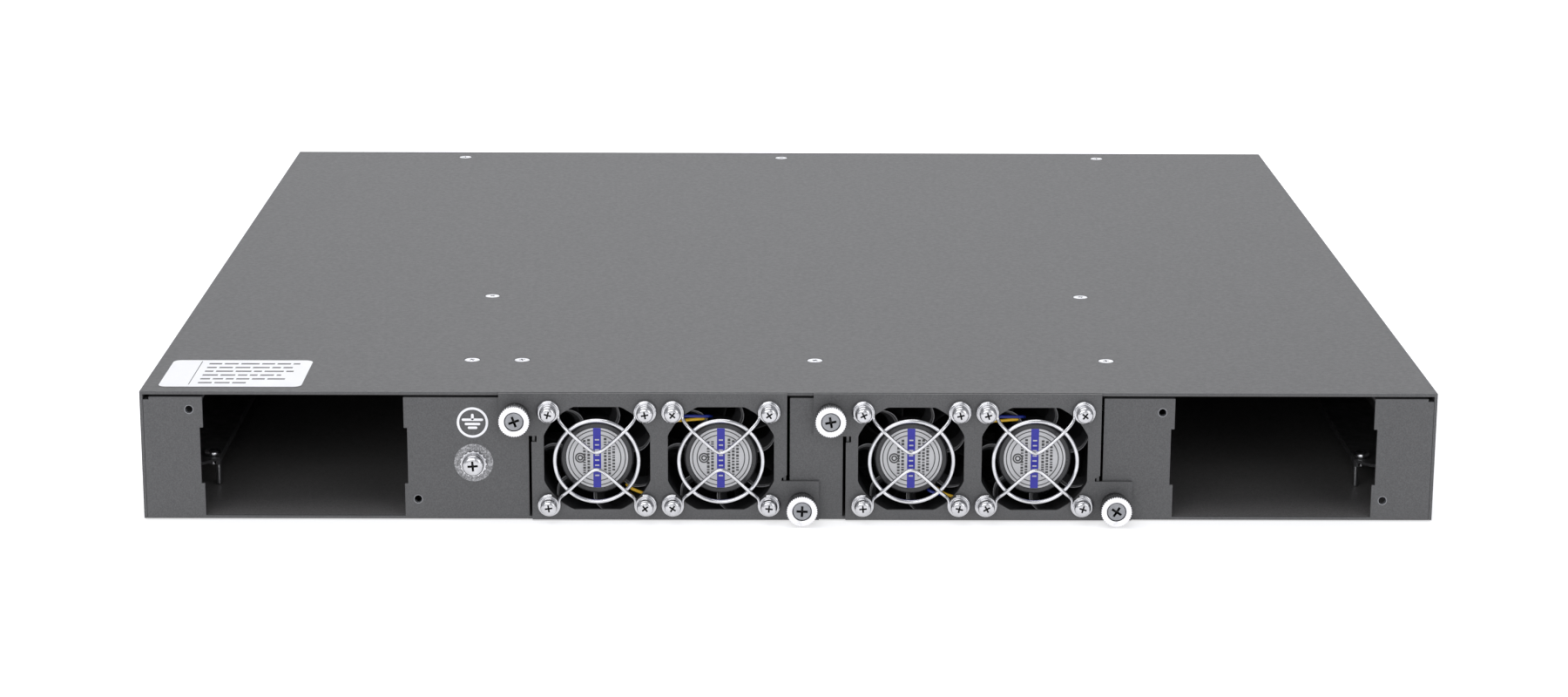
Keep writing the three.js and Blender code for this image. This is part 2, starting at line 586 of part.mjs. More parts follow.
MODULE_X.forEach((middle, moduleIndex) => {
  const fanModule = new THREE.Group();
  fanModule.position.x = middle;
  group.add(fanModule);
  addPart(fanModule, `fan_tray_${moduleIndex + 1}`, fanTray(), finishes.powderCoat);
  addPart(fanModule, `fan_plug_${moduleIndex + 1}`, moduleConnector(), finishes.blackPlastic);
  FAN_PLACES.forEach((x, fanIndex) => {
    const number = 2 * moduleIndex + fanIndex + 1;
    const fan = new THREE.Group();
    fan.position.set(x, 0, FAN.axisZ);
    fanModule.add(fan);
    addPart(fan, `fan_frame_${number}`, fanFrame(), finishes.blackPlastic);
    addPart(fan, `fan_rotor_${number}`, fanRotor(), finishes.blackPlastic);
    addPart(fan, `fan_guard_${number}`, fanGuard(), finishes.brightWire);
  });
  THUMBSCREW_PLACES.forEach(([x, z], screwIndex) => {
    const number = 2 * moduleIndex + screwIndex + 1;
    const place = new THREE.Group();
    place.position.set(x, 0, z);
    fanModule.add(place);
    addPart(place, `thumbscrew_collar_${number}`, thumbCollar(), finishes.darkCollar);
    addPart(place, `thumbscrew_sleeve_${number}`, thumbSleeve(), finishes.darkCollar);
    addPart(place, `thumbscrew_${number}`, thumbScrew(), finishes.nickel);
  });
});

export default group;
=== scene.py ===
"""Looks for the rackmount network switch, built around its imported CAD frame.

Shapes are worked out in millimetres and become metres when a mesh is made. Out means away from the
rear panel, towards the viewer (-Y).
"""

import json
import math
import random

import bpy
import bmesh
from mathutils import Matrix, Vector


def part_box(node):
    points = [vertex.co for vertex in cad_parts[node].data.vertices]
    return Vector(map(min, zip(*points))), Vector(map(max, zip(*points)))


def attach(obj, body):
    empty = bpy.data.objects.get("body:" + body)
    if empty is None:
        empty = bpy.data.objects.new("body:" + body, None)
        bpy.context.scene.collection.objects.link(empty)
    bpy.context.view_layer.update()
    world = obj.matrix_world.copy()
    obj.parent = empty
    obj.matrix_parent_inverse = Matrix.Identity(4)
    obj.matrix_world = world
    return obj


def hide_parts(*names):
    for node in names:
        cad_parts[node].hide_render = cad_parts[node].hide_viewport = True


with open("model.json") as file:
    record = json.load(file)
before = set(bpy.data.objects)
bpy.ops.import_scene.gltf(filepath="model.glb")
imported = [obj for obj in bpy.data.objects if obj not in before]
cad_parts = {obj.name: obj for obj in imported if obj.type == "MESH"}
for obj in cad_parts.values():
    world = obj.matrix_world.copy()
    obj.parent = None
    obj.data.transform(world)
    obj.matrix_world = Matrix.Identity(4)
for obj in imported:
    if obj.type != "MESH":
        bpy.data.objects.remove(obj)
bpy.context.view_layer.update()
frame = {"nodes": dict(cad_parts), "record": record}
random.seed(7)

MM = 0.001
TAU = 2 * math.pi


def box_mm(node):
    """Lowest and highest corner of a CAD node, in millimetres."""
    low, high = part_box(node)
    return low / MM, high / MM


def middle_mm(node):
    """The middle of a CAD node's box, in millimetres."""
    low, high = box_mm(node)
    return (low + high) / 2


REAR = box_mm("rear_panel")[0].y  # outer face of the rear panel
TOP = box_mm("top_cover")[1].z
FACE = box_mm("fan_tray_1")[0].y  # outer face of the fan modules' face plates
FANS = (1, 2, 3, 4)
MODULE_OF = {1: 1, 2: 1, 3: 2, 4: 2}
SCREW_HALF_PITCH = 16.0  # half the 32 mm square of a 40 mm fan's screws
LABEL_OUT = 1.0  # the fans' labels, level with the face plates
SHARP_ANGLE = 35  # edges sharper than this many degrees stay hard
COVER_SCREWS = 9
HOUSING_SIDES = 96  # points round a fan housing
BLADES = 7
STRUTS = 7
STRUT_TURN = math.radians(7.6)  # the first strut's angle at the motor cup
CUP_RADIUS, DUCT_RADIUS = 12.0, 19.1  # where a strut starts and ends
BLADE_ROOT, BLADE_TIP = 11.3, 18.4
KNURLS = 40
RAIL_POST = (195.6, 38)  # across from the middle, and in from the rear face


# ---------------------------------------------------------------- camera and light


# Fitted to about forty features of the photograph.
CAMERA_ANGLES = (0.56, 14.524, 0.256)  # yaw, pitch and roll in degrees
CAMERA_PLACE = (-12.96, REAR - 1134.43, 336.54)  # mm
LENS = 81.276  # mm, on a sensor 36 mm wide


def place_camera():
    """The photograph's viewpoint: behind the switch, above it and a little left of its middle."""
    yaw, pitch, roll = (math.radians(angle) for angle in CAMERA_ANGLES)
    forward = Vector((math.sin(yaw) * math.cos(pitch), math.cos(yaw) * math.cos(pitch), -math.sin(pitch)))
    level = Vector((math.cos(yaw), -math.sin(yaw), 0))
    upright = level.cross(forward)
    right = level * math.cos(roll) + upright * math.sin(roll)
    up = upright * math.cos(roll) - level * math.sin(roll)
    data = bpy.data.cameras.new("camera")
    data.sensor_width = 36
    data.lens = LENS
    data.shift_y = 0.03
    camera = bpy.data.objects.new("camera", data)
    bpy.context.scene.collection.objects.link(camera)
    turn = Matrix((right, up, -forward)).transposed().to_4x4()
    camera.matrix_world = Matrix.Translation(Vector(CAMERA_PLACE) * MM) @ turn
    bpy.context.scene.camera = camera


def area_light(name, place, target, size, power):
    """A soft light: place, target and size in metres, power in watts."""
    data = bpy.data.lights.new(name, "AREA")
    data.shape = "RECTANGLE"
    data.size, data.size_y = size
    data.energy = power
    lamp = bpy.data.objects.new(name, data)
    bpy.context.scene.collection.objects.link(lamp)
    aim = Vector(target) - Vector(place)
    lamp.matrix_world = Matrix.Translation(place) @ aim.to_track_quat("-Z", "Y").to_matrix().to_4x4()


def light_scene():
    """An even studio: a softbox overhead, fills from the rear and the front, and a pale world."""
    world = bpy.data.worlds.new("studio")
    bpy.context.scene.world = world
    world.use_nodes = True
    background = world.node_tree.nodes["Background"]
    background.inputs["Color"].default_value = (0.93, 0.95, 1.0, 1)
    background.inputs["Strength"].default_value = 0.45
    area_light("overhead_softbox", (-0.35, 0.0, 1.5), (0, 0, 0), (2.0, 1.6), 15.2)
    area_light("rear_fill", (-0.5, -1.8, 0.7), (0, -0.1, 0), (1.2, 0.8), 7)
    area_light("rear_fill_right", (0.9, -1.5, 0.5), (0, -0.1, 0), (0.8, 0.8), 3.5)
    area_light("front_fill", (0.15, 1.8, 0.9), (0, 0.1, 0), (1.8, 0.9), 8.5)
    bpy.context.scene.view_settings.view_transform = "Standard"


# ---------------------------------------------------------------- materials


class Finish:
    """A procedural material. Its textures are laid out in metres on the object."""

    def __init__(self, name, color, roughness, metallic=0.0):
        self.material = bpy.data.materials.new(name)
        self.material.use_nodes = True
        self.tree = self.material.node_tree
        self.shader = self.tree.nodes["Principled BSDF"]
        self.coordinates = self.tree.nodes.new("ShaderNodeTexCoord").outputs["Object"]
        self.set("Base Color", (*color, 1))
        self.set("Roughness", roughness)
        self.set("Metallic", metallic)
        self.reliefs = []

    def set(self, socket, value):
        """Sets a uniform value on the shader's own socket."""
        self.shader.inputs[socket].default_value = value
        return self

    def scaled(self, stretch):
        """Object coordinates, stretched."""
        mapping = self.tree.nodes.new("ShaderNodeMapping")
        mapping.inputs["Scale"].default_value = stretch
        self.tree.links.new(self.coordinates, mapping.inputs["Vector"])
        return mapping.outputs["Vector"]

    def noise(self, size_mm, detail=2.0, stretch=(1, 1, 1), rough=0.5):
        """A noise whose grains are about size_mm across."""
        texture = self.tree.nodes.new("ShaderNodeTexNoise")
        texture.inputs["Scale"].default_value = 1 / (size_mm * MM)
        texture.inputs["Detail"].default_value = detail
        texture.inputs["Roughness"].default_value = rough
        self.tree.links.new(self.scaled(stretch), texture.inputs["Vector"])
        return texture.outputs["Fac"]

    def cells(self, size_mm):
        """Voronoi cells about size_mm across, each with a colour of its own."""
        texture = self.tree.nodes.new("ShaderNodeTexVoronoi")
        texture.inputs["Scale"].default_value = 1 / (size_mm * MM)
        self.tree.links.new(self.scaled((1, 1, 1)), texture.inputs["Vector"])
        return texture.outputs["Color"]

    def ramp(self, source, stops):
        """stops: (position, colour) pairs."""
        ramp = self.tree.nodes.new("ShaderNodeValToRGB")
        elements = ramp.color_ramp.elements
        while len(elements) < len(stops):
            elements.new(0.5)
        for element, (position, color) in zip(elements, stops):
            element.position = position
            element.color = (*color, 1)
        self.tree.links.new(source, ramp.inputs["Fac"])
        return ramp.outputs["Color"]

    def color_from(self, source, stops):
        self.tree.links.new(self.ramp(source, stops), self.shader.inputs["Base Color"])
        return self

    def roughness_from(self, source, low, high):
        """Spreads the middle of a noise over a range of roughness."""
        spread = self.tree.nodes.new("ShaderNodeMapRange")
        limits = {"From Min": 0.3, "From Max": 0.7, "To Min": low, "To Max": high}
        for socket, value in limits.items():
            spread.inputs[socket].default_value = value
        self.tree.links.new(source, spread.inputs["Value"])
        self.tree.links.new(spread.outputs["Result"], self.shader.inputs["Roughness"])
        return self

    def bump(self, source, depth_mm, strength=1.0):
        """Adds a relief of about depth_mm. Several are stacked."""
        node = self.tree.nodes.new("ShaderNodeBump")
        node.inputs["Distance"].default_value = depth_mm * MM
        node.inputs["Strength"].default_value = strength
        self.tree.links.new(source, node.inputs["Height"])
        if self.reliefs:
            self.tree.links.new(self.reliefs[-1].outputs["Normal"], node.inputs["Normal"])
        self.reliefs.append(node)
        self.tree.links.new(node.outputs["Normal"], self.shader.inputs["Normal"])
        return self


def grey(value, warm=0.0):
    """A grey with a trace of blue, or with more red and less blue where warm is above 0."""
    return (value * (1 + warm), value, value * (1.03 - warm))


def powder_coat(name, tone, warm=0.0, speckle=1.0):
    """Fine-textured powder coat: dark and light grains, slightly uneven gloss, orange-peel relief."""
    coat = Finish(name, grey(tone, warm), 0.55, 0.0)
    grains = coat.noise(0.45, 3.0, rough=0.65)
    dark, light = grey(tone * (1 - 0.22 * speckle), warm), grey(tone * (1 + 0.25 * speckle), warm)
    coat.color_from(grains, [(0.30, dark), (0.5, grey(tone, warm)), (0.70, light)])
    coat.roughness_from(coat.noise(1.6), 0.50, 0.60)
    coat.bump(coat.noise(1.4, 1.0), 0.05, 0.35)
    coat.bump(coat.noise(0.4, 2.0), 0.04, 0.5)
    return coat.material


def galvanised_sheet():
    """Plain galvanised sheet: faint spangle and rolling marks along the sheet."""
    sheet = Finish("galvanised_sheet", grey(0.10), 0.42, 0.6)
    sheet.color_from(sheet.cells(5.0), [(0.0, grey(0.08)), (1.0, grey(0.12))])
    sheet.roughness_from(sheet.noise(3.0, 3.0), 0.34, 0.52)
    sheet.bump(sheet.noise(0.3, 2.0, (1, 0.04, 1)), 0.01, 0.4)
    return sheet.material


def plated(name, tone, roughness, warm=0.0, brush=(1, 1, 1)):
    """Plated steel: nearly even colour, hazy patches and fine scratches."""
    metal = Finish(name, grey(tone, warm), roughness, 1.0)
    haze = [(0.3, grey(tone * 0.86, warm)), (0.7, grey(tone * 1.05, warm))]
    metal.color_from(metal.noise(2.5, 4.0), haze)
    metal.roughness_from(metal.noise(0.8, 3.0), roughness * 0.75, roughness * 1.35)
    metal.bump(metal.noise(0.12, 2.0, brush), 0.006, 0.5)
    return metal.material


def moulded_plastic(name, color, roughness=0.5):
    """Moulded plastic with a spark-eroded texture."""
    plastic = Finish(name, color, roughness)
    bright = tuple(channel * 1.5 for channel in color)
    plastic.color_from(plastic.noise(4.0, 3.0), [(0.3, color), (0.75, bright)])
    plastic.roughness_from(plastic.noise(1.5, 2.0), roughness * 0.85, roughness * 1.2)
    plastic.bump(plastic.noise(0.25, 2.0), 0.02, 0.4)
    return plastic.material


def label_paper(name, tone):
    """Coated label paper with a trace of fibre."""
    paper = Finish(name, grey(tone), 0.45)
    paper.color_from(paper.noise(1.2, 4.0, (1, 3, 1)), [(0.3, grey(tone * 0.96)), (0.7, grey(tone))])
    paper.roughness_from(paper.noise(6.0), 0.38, 0.5)
    paper.bump(paper.noise(0.4, 3.0, (1, 3, 1)), 0.01, 0.3)
    return paper.material


def bare_metal():
    """Panel metal with its coat ground off: bright and dark grains."""
    metal = Finish("bare_panel_metal", grey(0.34), 0.5, 0.7)
    grains = [(0.38, grey(0.15)), (0.52, grey(0.28)), (0.66, grey(0.50))]
    metal.color_from(metal.noise(0.5, 3.0, rough=0.7), grains)
    metal.roughness_from(metal.noise(0.6, 3.0), 0.42, 0.62)
    metal.bump(metal.noise(0.3, 2.0), 0.03, 0.6)
    return metal.material


def printed_ink(name, color):
    """Glossy printing ink, slightly uneven."""
    ink = Finish(name, color, 0.35)
    darker = tuple(channel * 0.85 for channel in color)
    ink.color_from(ink.noise(0.8, 3.0), [(0.3, darker), (0.7, color)])
    ink.roughness_from(ink.noise(2.0), 0.3, 0.42)
    ink.bump(ink.noise(0.3, 2.0), 0.004, 0.3)
    return ink.material


def solder_mask():
    """Green circuit board: copper routes under the mask, and a slight gloss."""
    board = Finish("solder_mask", (0.01, 0.09, 0.03), 0.3)
    routes = board.tree.nodes.new("ShaderNodeTexBrick")
    routes.inputs["Scale"].default_value = 120
    routes.inputs["Mortar Size"].default_value = 0.03
    routes.inputs["Color1"].default_value = (0.006, 0.075, 0.024, 1)
    routes.inputs["Color2"].default_value = (0.008, 0.095, 0.03, 1)
    routes.inputs["Mortar"].default_value = (0.03, 0.17, 0.06, 1)
    board.tree.links.new(board.scaled((1, 1.7, 1)), routes.inputs["Vector"])
    board.tree.links.new(routes.outputs["Color"], board.shader.inputs["Base Color"])
    board.roughness_from(board.noise(8.0), 0.25, 0.38)
    board.bump(routes.outputs["Fac"], 0.03, 0.5)
    return board.material


def insulation(name, color):
    """Glossy wire insulation."""
    wire = Finish(name, color, 0.35)
    wire.roughness_from(wire.noise(1.0, 2.0), 0.28, 0.45)
    wire.bump(wire.noise(0.5, 2.0), 0.02, 0.3)
    return wire.material


def glowing(name, color, strength):
    """A lens lit from inside."""
    lens = Finish(name, color, 0.25)
    lens.roughness_from(lens.noise(0.8, 2.0), 0.2, 0.32)
    lens.set("Emission Color", (*color, 1))
    lens.set("Emission Strength", strength)
    return lens.material


COAT = powder_coat("powder_coat", 0.082)
# Painted light: a lighter copy of the powder coat for the base tray, whose floor is lit at the front; its
# heavier speckle is partly the coat's grain and partly painted glints.
LIT_TRAY_COAT = powder_coat("lit_tray_coat", 0.135, 0.03, 1.7)
INNER = galvanised_sheet()
ZINC = plated("zinc_plating", 0.60, 0.20)
SATIN_ZINC = plated("satin_zinc", 0.86, 0.55)
# Painted shade: a near-black copy of the plating for the walls and floor of screw recesses.
RECESS_SHADE = plated("painted_recess_shade", 0.05, 0.45)
BARE = bare_metal()
CHROME = plated("bright_wire", 0.66, 0.12)
NICKEL = plated("satin_nickel", 0.92, 0.38, 0.01)
# Painted shade: a dark copy of the knob's nickel for its knurled side, against the near-white face.
SHADED_KNURL = plated("shaded_knurled_nickel", 0.30, 0.30)
TIN = plated("tin_plate", 0.66, 0.33, 0.0, (0.1, 1, 1))
GOLD = plated("gold_contacts", 0.75, 0.22, 0.35)
EXTRUSION = plated("extruded_aluminium", 0.60, 0.38, 0.0, (0.08, 1, 1))
COLLAR = plated("dark_plating", 0.10, 0.30)
BLACK = moulded_plastic("black_plastic", (0.012, 0.012, 0.013), 0.48)
ROTOR = moulded_plastic("rotor_plastic", (0.010, 0.010, 0.011), 0.36)
SILVER_LABEL = label_paper("fan_label", 0.50)
BLUE_INK = printed_ink("blue_band", (0.018, 0.018, 0.34))
CUP = moulded_plastic("motor_cup", (0.020, 0.020, 0.022), 0.3)
CORE = plated("dull_zinc", 0.30, 0.32, -0.02)
# Painted highlight: a lighter plastic for thin tubes along the fan struts' outer edges.
EDGE_HIGHLIGHT = moulded_plastic("painted_highlight_edge", (0.11, 0.11, 0.115), 0.4)
WHITE_INK = label_paper("white_ink", 0.86)
GREY_INK = label_paper("grey_ink", 0.045)
PAPER = label_paper("top_label", 0.88)
BOARD = solder_mask()
YELLOW = insulation("yellow_lead", (0.62, 0.37, 0.01))
BLUE = insulation("blue_lead", (0.008, 0.02, 0.20))
GREEN_LENS = glowing("green_lens", (0.12, 0.55, 0.16), 0.4)


# ---------------------------------------------------------------- shapes


class Shape:
    """Closed surfaces in millimetres that become one mesh object."""

    def __init__(self):
        self.points = []
        self.faces = []

    def add(self, points, faces):
        base = len(self.points)
        self.points += [Vector(point) for point in points]
        self.faces += [[base + index for index in face] for face in faces]
        return self

    def lathe(self, profile, centre, segments=40, upright=False, ripple=None):
        """Turns (radius, out) points about an axis through centre, which points out or, upright, up.
        ripple(angle, radius, out) may change a point's radius."""
        rings, points, faces = [], [], []
        for radius, out in profile:
            ring = []
            for step in range(1 if radius == 0 else segments):
                angle = TAU * step / segments
                reach = ripple(angle, radius, out) if ripple else radius
                across, along = reach * math.cos(angle), reach * math.sin(angle)
                offset = (across, along, out) if upright else (across, -out, along)
                ring.append(len(points))
                points.append(Vector(centre) + Vector(offset))
            rings.append(ring)
        for low, high in zip(rings, rings[1:]):
            for step in range(segments):
                after = (step + 1) % segments
                corners = [low[step % len(low)], low[after % len(low)], high[after % len(high)],
                           high[step % len(high)]]
                face = list(dict.fromkeys(corners))
                if len(face) > 2:
                    faces.append(face)
        return self.add(points, faces)

    def ring(self, radius, out, thick, centre, segments=64, sides=12):
        """A closed ring of round wire about the out axis."""
        profile = arc((radius, out), thick, 0, 360, sides)
        return self.lathe(profile, centre, segments)

    def tube(self, path, radius, sides=12):
        """Round wire along a path, with closed ends."""
        path = [Vector(point) for point in path]
        points, faces = [], []
        normal = None
        for index, place in enumerate(path):
            ahead = path[min(index + 1, len(path) - 1)] - path[max(index - 1, 0)]
            ahead.normalize()
            if normal is None:
                normal = ahead.orthogonal()
            normal = (normal - ahead * normal.dot(ahead)).normalized()
            side_way = ahead.cross(normal)
            for side in range(sides):
                angle = TAU * side / sides
                points.append(place + radius * (normal * math.cos(angle) + side_way * math.sin(angle)))
        for index in range(len(path) - 1):
            for side in range(sides):
                a, b = index * sides + side, index * sides + (side + 1) % sides
                faces.append([a, b, b + sides, a + sides])
        faces.append(list(range(sides)))
        faces.append(list(range((len(path) - 1) * sides, len(path) * sides)))
        return self.add(points, faces)

    def prism(self, outline, near, far, upright=False):
        """A flat outline (across, up) given thickness from near to far along Y, or along Z if upright."""
        def place(point, depth):
            return (point[0], point[1], depth) if upright else (point[0], depth, point[1])

        count = len(outline)
        points = [place(point, near) for point in outline] + [place(point, far) for point in outline]
        faces = [list(range(count)), list(range(count, 2 * count))]
        faces += [[i, (i + 1) % count, count + (i + 1) % count, count + i] for i in range(count)]
        return self.add(points, faces)

    def block(self, low, high):
        """A box between two corners."""
        (x0, y0, z0), (x1, y1, z1) = low, high
        return self.prism([(x0, z0), (x1, z0), (x1, z1), (x0, z1)], y0, y1)

    def mesh(self, name, sharp=SHARP_ANGLE):
        """The mesh in metres, with smooth faces between hard edges."""
        data = bpy.data.meshes.new(name)
        data.from_pydata([point * MM for point in self.points], [], self.faces)
        work = bmesh.new()
        work.from_mesh(data)
        bmesh.ops.recalc_face_normals(work, faces=work.faces)
        work.to_mesh(data)
        work.free()
        data.polygons.foreach_set("use_smooth", [True] * len(data.polygons))
        data.set_sharp_from_angle(angle=math.radians(sharp))
        return data

    def piece(self, name, material, body, slot, replaces=(), bevel=0.0, sharp=SHARP_ANGLE):
        """Makes the object, which moves with body."""
        item = bpy.data.objects.new(name, self.mesh(name, sharp))
        bpy.context.scene.collection.objects.link(item)
        item.data.materials.append(material)
        if bevel:
            round_edges(item, bevel)
        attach(item, body)
        if replaces:
            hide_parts(*replaces)
        return item


def round_edges(item, width):
    """Rounds every edge that turns by more than 32 degrees."""
    bevel = item.modifiers.new("rounded_edges", "BEVEL")
    bevel.width = width * MM
    bevel.segments = 2
    bevel.limit_method = "ANGLE"
    bevel.angle_limit = math.radians(32)
    bevel.harden_normals = False


def hoop(inner, outer, low, high, edge=0.0):
    """Closed profile (radius, out) of a washer or sleeve, with its outer edges rounded off."""
    return [(inner, low), (outer - edge, low), (outer, low + edge), (outer, high - edge),
            (outer - edge, high), (inner, high), (inner, low)]


def carve(item, cutter_shape):
    """Cuts a shape out of an object and keeps the result as its mesh."""
    cutter = bpy.data.objects.new("cutter", cutter_shape.mesh("cutter"))
    bpy.context.scene.collection.objects.link(cutter)
    cut = item.modifiers.new("cut", "BOOLEAN")
    cut.operation = "DIFFERENCE"
    cut.solver = "EXACT"
    cut.object = cutter
    bpy.context.view_layer.update()
    result = bpy.data.meshes.new_from_object(item.evaluated_get(bpy.context.evaluated_depsgraph_get()))
    item.modifiers.remove(cut)
    item.data = result
    bpy.data.objects.remove(cutter)
    result.set_sharp_from_angle(angle=math.radians(SHARP_ANGLE))
    return item


def arc(centre, radius, start, end, steps):
    """Points (across, up) on an arc, angles in degrees."""
    return [(centre[0] + radius * math.cos(math.radians(start + (end - start) * i / steps)),
             centre[1] + radius * math.sin(math.radians(start + (end - start) * i / steps)))
            for i in range(steps + 1)]


def rounded_rectangle(low, high, radius):
    """The outline (across, up) of a rectangle with round corners."""
    (x0, z0), (x1, z1) = low, high
    return (arc((x1 - radius, z0 + radius), radius, -90, 0, 6)
            + arc((x1 - radius, z1 - radius), radius, 0, 90, 6)
            + arc((x0 + radius, z1 - radius), radius, 90, 180, 6)
            + arc((x0 + radius, z0 + radius), radius, 180, 270, 6))


# ---------------------------------------------------------------- screws


def cross_outline(reach, half):
    """The twelve corners of a cross, going round."""
    arm = [(reach, -half), (reach, half), (half, half)]
    corners = []
    for quarter in range(4):
        for x, z in arm:
            corners.append((x, z))
        arm = [(-z, x) for x, z in arm]
    return corners


def cross_cutter(centre, out, reach, depth, upright=False, turn=0.0):
    """The tapered cross recess of a Phillips screw whose head's surface is at out."""
    cosine, sine = math.cos(math.radians(turn)), math.sin(math.radians(turn))
    points = []
    for level, arm, half in ((out + 1, reach, 0.19 * reach), (out - depth, reach * 0.35, 0.12 * reach)):
        for a, b in cross_outline(arm, half):
            across, along = a * cosine - b * sine, a * sine + b * cosine
            offset = (across, along, level) if upright else (across, -level, along)
            points.append(Vector(centre) + Vector(offset))
    faces = [list(range(12)), list(range(12, 24))]
    faces += [[i, (i + 1) % 12, 12 + (i + 1) % 12, 12 + i] for i in range(12)]
    return Shape().add(points, faces)


def paint_recess_shade(item, centre, out, reach, depth, upright):
    """Paints shade on the walls and floor of a screw's recess: they get a near-black copy of the plating."""
    item.data.materials.append(RECESS_SHADE)
    for face in item.data.polygons:
        offset = face.center / MM - Vector(centre)
        level, across = (offset.z, offset.xy.length) if upright else (-offset.y, offset.xz.length)
        facing = face.normal.z if upright else -face.normal.y
        inside = across < reach and out - depth - 0.01 < level < out
        if inside and (abs(facing) < 0.6 or level < out - 0.8 * depth):
            face.material_index = 1


def screw_piece(shape, name, body, centre, out, reach, depth, upright=False, turn=0.0, replaces=(),
                finish=None):
    """A turned head with a cross recess."""
    item = bpy.data.objects.new(name, shape.mesh(name))
    bpy.context.scene.collection.objects.link(item)
    carve(item, cross_cutter(centre, out, reach, depth, upright, turn))
    item.data.materials.clear()
    item.data.materials.append(finish or ZINC)
    # The recess's walls and floor get painted shade.
    paint_recess_shade(item, centre, out, reach, depth, upright)
    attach(item, body)
    if replaces:
        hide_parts(*replaces)
    return item


def pan_profile(radius, height, base, shank, length):
    """A pan head that stands on base, with its shank going in."""
    crown = [(radius * math.cos(math.radians(a)) ** 0.55, base + height * 0.45
              + height * 0.55 * math.sin(math.radians(a))) for a in range(0, 90, 12)]
    return [(0, base - length), (shank, base - length), (shank, base), (radius * 0.96, base),
            (radius, base + height * 0.08), *crown, (0, base + height)]


def build_cover_screws():
    """Countersunk screws, flush with the top cover."""
    for number in range(1, COVER_SCREWS + 1):
        node = f"cover_screw_{number}"
        spot = middle_mm(node)
        centre = (spot.x, spot.y, TOP)
        shape = Shape().lathe([(0, -6), (1.3, -6), (1.3, -1.5), (2.5, -0.22), (2.6, -0.12), (2.5, -0.04),
                               (0, 0.0)], centre, 32, upright=True)
        screw_piece(shape, f"cover_screw_head_{number}", "chassis", centre, 0.0, 1.55, 1.0,
                    upright=True, turn=random.uniform(0, 90), replaces=[node], finish=SATIN_ZINC)


def build_rail_screws():
    """The rails' pan screws, and the post that stands under each shelf's tip."""
    for side, way in (("left", -1), ("right", 1)):
        node = f"psu_rail_screw_{side}"
        spot = middle_mm(node)
        top = box_mm(node)[1].z
        shape = Shape().lathe(pan_profile(2.75, 2.1, top - 2.1, 1.35, 3), (spot.x, spot.y, 0), 32,
                              upright=True)
        screw_piece(shape, f"rail_screw_{side}", "chassis", (spot.x, spot.y, 0), top,
                    1.5, 1.1, upright=True, turn=random.uniform(0, 90), replaces=[node])
        across, depth = RAIL_POST
        post = Shape().lathe([(0, 1.4), (0.95, 1.4), (0.95, 8.2), (0, 8.2)],
                             (way * across, REAR + depth, 0), 20, upright=True)
        post.piece(f"rail_post_{side}", ZINC, "chassis", "zinc_fastener")


def capsule(centre, half_width, half_height):
    """A flat bar (across, up) with round ends."""
    x, z = centre
    radius = min(half_width, half_height)
    return rounded_rectangle((x - half_width, z - half_height), (x + half_width, z + half_height),
                             radius * 0.98)


def build_ground():
    """Ground screw on its toothed washer and bare patch, with the ground symbol above."""
    spot = middle_mm("ground_washer")
    centre = (spot.x, REAR, spot.z)
    patch = Shape().lathe([(0, 0.0), (6.45, 0.0), (6.45, 0.035), (0, 0.035)],
                          (spot.x + 0.1, REAR, spot.z + 0.3), 64)
    patch.piece("ground_bare_patch", BARE, "chassis", "zinc_fastener")

    def teeth(angle, radius, out):
        return radius + (0.38 * max(0.0, math.cos(16 * angle)) if radius > 4 else 0)

    washer = Shape().lathe([(2.2, 0.3), (4.15, 0.3), (4.25, 0.55), (4.15, 0.85), (2.2, 0.85), (2.2, 0.3)],
                           centre, 128, ripple=teeth)
    washer.piece("ground_toothed_washer", ZINC, "chassis", "zinc_fastener", ["ground_washer"])
    head = Shape().lathe(pan_profile(3.65, 2.7, 1.1, 1.75, 6), centre, 48)
    screw_piece(head, "ground_screw_head", "chassis", centre, 3.8, 2.35, 1.6, turn=4,
                replaces=["ground_screw"])

    x, z = spot.x - 0.1, spot.z + 14.1  # middle of the printed symbol
    near, far = REAR - 0.05, REAR + 0.01
    symbol = Shape().lathe([(4.4, 0.0), (5.2, 0.0), (5.2, 0.05), (4.4, 0.05), (4.4, 0.0)], (x, REAR, z), 72)
    symbol.prism(capsule((x, z + 1.9), 0.46, 1.1), near, far)
    for half, height in ((3.55, 0.95), (2.6, -0.5), (1.6, -1.8)):
        symbol.prism(capsule((x, z + height), half, 0.42), near, far)
    symbol.piece("ground_symbol", WHITE_INK, "chassis", "label_print")


def build_tapped_holes():
    """Threaded bores of the four holes that take the power supplies' screws."""
    places = [(-198.8, 37.5), (-123.6, 6.8), (123.8, 37.0), (198.2, 6.8)]
    for number, (x, z) in enumerate(places, 1):
        profile = [(1.52, 0.02), (1.52, -2.2)]
        for thread in range(4):
            profile += [(1.3, -2.1 + 0.5 * thread), (1.14, -1.85 + 0.5 * thread)]
        profile += [(1.34, 0.02), (1.52, 0.02)]
        bore = Shape().lathe(profile, (x, REAR, z), 32)
        bore.piece(f"tapped_hole_bore_{number}", CORE, "chassis", "zinc_fastener")


# ---------------------------------------------------------------- fan modules


def fan_centre(number):
    """The middle of a fan's outer face, in millimetres."""
    spot = middle_mm(f"fan_frame_{number}")
    return Vector((spot.x, box_mm(f"fan_frame_{number}")[0].y, spot.z))


def square_ring(half, corner):
    """Points round a square with rounded corners, at even angles."""
    ring = []
    for step in range(HOUSING_SIDES):
        angle = TAU * step / HOUSING_SIDES
        x, z = math.cos(angle), math.sin(angle)
        scale = half / max(abs(x), abs(z))
        limit = math.sqrt(2) * (half - corner) + corner
        ring.append((x * min(scale, limit), z * min(scale, limit)))
    return ring


